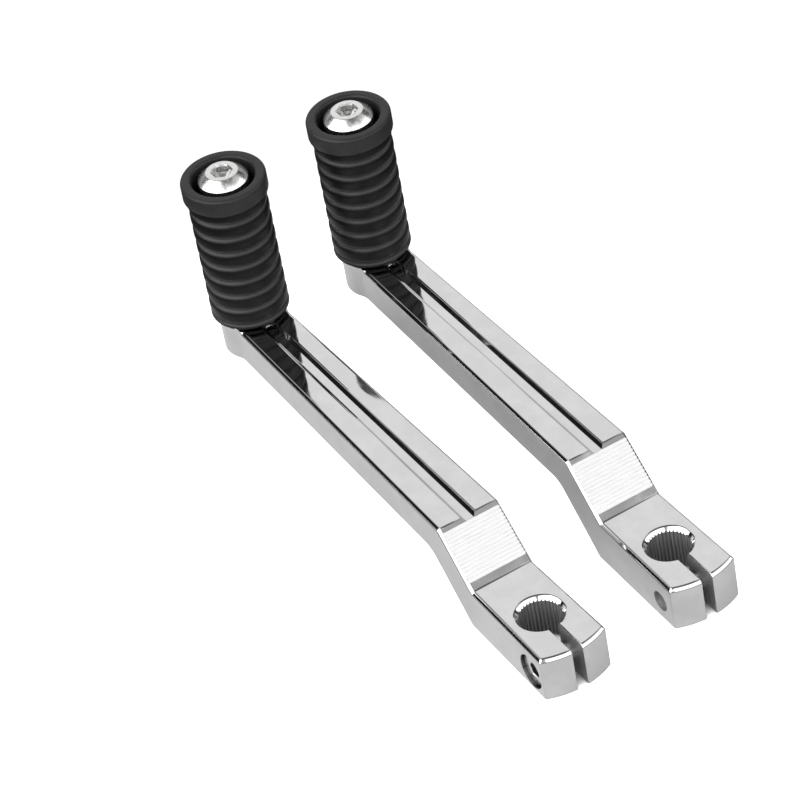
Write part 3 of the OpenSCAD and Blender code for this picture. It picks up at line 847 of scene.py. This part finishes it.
class LEVERS_OT_set_stage(bpy.types.Operator):
    """Lay the floor, light the scene and place the camera"""
    bl_idname = "levers.set_stage"
    bl_label = "Set Stage"

    def execute(self, context):
        stage = context.scene.lever_stage
        lay_floor(stage)
        light_world(context.scene, context.scene.lever_studio, stage.camera_forward)
        place_camera(context.scene, stage)
        return {"FINISHED"}


class LEVERS_OT_polish_arms(bpy.types.Operator):
    """Round the arms' edges and give them chrome plate and milled slopes"""
    bl_idname = "levers.polish_arms"
    bl_label = "Polish Arms"

    def execute(self, context):
        arm = context.scene.lever_arms
        finish = context.scene.lever_finishes
        # Painted shade: a dark copy of the chrome for the counterbores' walls
        bare_shaded_colour = shade(finish.chrome, finish.bare_shade_share)
        shaded_bare = steel("shaded_bare_hole", bare_shaded_colour, roughness=(0.12, 0.25), scale=600.0)
        metals = (chrome_plate(finish), milled_metal(finish), shaded_broached_steel(finish), shaded_bare)
        for side in SIDES:
            finished_piece(polished_arm(side, arm), f"{side}_plated_arm", "levers", "chrome", [f"{side}_arm"],
                           *metals)
        return {"FINISHED"}


class LEVERS_OT_mould_sleeves(bpy.types.Operator):
    """Turn the ribbed rubber sleeves of the pegs"""
    bl_idname = "levers.mould_sleeves"
    bl_label = "Mould Sleeves"

    def execute(self, context):
        peg = context.scene.lever_pegs
        low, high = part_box("left_peg_rubber")
        rubber = moulded_rubber(context.scene.lever_finishes, peg, low.z, high.z)
        for side in SIDES:
            low, high, middle = box_middle(f"{side}_peg_rubber")
            bm = bmesh.new()
            turned(bm, sleeve_section(peg, low.z, high.z, (high.x - low.x) / 2), peg.steps, closed=True)
            set_down(bm, (middle.x, middle.y, 0.0))
            finished_piece(bm, f"{side}_ribbed_sleeve", f"{side}_peg", "peg_rubber", [f"{side}_peg_rubber"],
                           rubber, smooth_angle=50.0)
        return {"FINISHED"}


class LEVERS_OT_turn_peg_screws(bpy.types.Operator):
    """Turn the domed screws that hold the pegs"""
    bl_idname = "levers.turn_peg_screws"
    bl_label = "Turn Peg Screws"

    def execute(self, context):
        screw = context.scene.lever_screws
        finish = context.scene.lever_finishes
        # Painted shade: a darker copy of the polished steel for the socket
        shaded_socket_colour = shade(finish.dome, finish.peg_socket_shade)
        metal = steel("polished_steel", finish.dome, roughness=(0.22, 0.3), scale=900.0)
        socket = steel("shaded_polished_socket", shaded_socket_colour, roughness=(0.25, 0.4), scale=900.0)
        for side in SIDES:
            low, high, middle = box_middle(f"{side}_peg_screw")
            bm = bmesh.new()
            ring = turned(bm, peg_screw_section(screw, low.z, high.z), screw.steps)
            cut_socket(bm, ring, screw.peg_key, high.z, screw.peg_socket, screw.peg_mouth)
            set_down(bm, (middle.x, middle.y, 0.0))
            finished_piece(bm, f"{side}_domed_screw", "levers", "polished_steel", [f"{side}_peg_screw"],
                           metal, socket, smooth_angle=25.0)
        return {"FINISHED"}


class LEVERS_OT_turn_pinch_screws(bpy.types.Operator):
    """Turn the socket screws that close the clamps"""
    bl_idname = "levers.turn_pinch_screws"
    bl_label = "Turn Pinch Screws"

    def execute(self, context):
        screw = context.scene.lever_screws
        finish = context.scene.lever_finishes
        # Painted shade: a much darker copy of the zinc plate for the socket
        shaded_socket_colour = shade(finish.zinc, finish.pinch_socket_shade)
        metal = steel("zinc_plate", finish.zinc, roughness=(0.14, 0.3), scale=700.0)
        socket = steel("shaded_zinc_socket", shaded_socket_colour, roughness=(0.3, 0.5), scale=700.0)
        for side, turn in zip(SIDES, (1.0, -1.0)):
            low, high, middle = box_middle(f"{side}_pinch_screw")
            span = high.y - low.y
            tip = high.y if turn > 0 else low.y
            bm = bmesh.new()
            ring = turned(bm, pinch_screw_section(screw, span), screw.steps)
            cut_socket(bm, ring, screw.pinch_key, span, screw.pinch_socket, screw.pinch_mouth)
            lay_across = Matrix.Rotation(turn * math.pi / 2, 3, "X")
            bmesh.ops.rotate(bm, verts=bm.verts[:], cent=(0, 0, 0), matrix=lay_across)
            set_down(bm, (middle.x, tip, middle.z))
            finished_piece(bm, f"{side}_socket_screw", "levers", "zinc_steel", [f"{side}_pinch_screw"],
                           metal, socket, smooth_angle=25.0)
        return {"FINISHED"}


class LEVERS_OT_finish_bearings(bpy.types.Operator):
    """Give the spacers and bushes inside the pegs their finishes"""
    bl_idname = "levers.finish_bearings"
    bl_label = "Finish Bearings"

    def execute(self, context):
        finish = context.scene.lever_finishes
        zinc = steel("zinc_spacer", finish.zinc, roughness=(0.2, 0.35), scale=600.0)
        for node, material in (("peg_spacer", zinc), ("peg_bush", black_oxide(finish))):
            for side in SIDES:
                slots = frame["nodes"][f"{side}_{node}"].data.materials
                slots.clear()
                slots.append(material)
        return {"FINISHED"}


OPERATORS = (
    LEVERS_OT_set_stage,
    LEVERS_OT_polish_arms,
    LEVERS_OT_mould_sleeves,
    LEVERS_OT_turn_peg_screws,
    LEVERS_OT_turn_pinch_screws,
    LEVERS_OT_finish_bearings,
)


class LEVERS_PT_panel(bpy.types.Panel):
    """Lists the steps that dress the levers, and their settings"""
    bl_label = "Gear Shift Levers"
    bl_idname = "LEVERS_PT_panel"
    bl_space_type = "VIEW_3D"
    bl_region_type = "UI"
    bl_category = "Levers"

    def draw(self, context):
        for operator in OPERATORS:
            self.layout.operator(operator.bl_idname)
        for name, group in SETTINGS.items():
            box = self.layout.box()
            for key in group.__annotations__:
                box.prop(getattr(context.scene, name), key)


CLASSES = (*SETTINGS.values(), *OPERATORS, LEVERS_PT_panel)


def register():
    """Registers the classes and puts the settings on the scene."""
    for item in CLASSES:
        bpy.utils.register_class(item)
    for name, group in SETTINGS.items():
        setattr(bpy.types.Scene, name, PointerProperty(type=group))


def unregister():
    """Takes the settings off the scene and unregisters the classes."""
    for name in SETTINGS:
        delattr(bpy.types.Scene, name)
    for item in reversed(CLASSES):
        bpy.utils.unregister_class(item)


def main():
    register()
    bpy.ops.levers.set_stage()
    bpy.ops.levers.polish_arms()
    bpy.ops.levers.mould_sleeves()
    bpy.ops.levers.turn_peg_screws()
    bpy.ops.levers.turn_pinch_screws()
    bpy.ops.levers.finish_bearings()
    bpy.context.view_layer.update()


if __name__ == "__main__":
    main()
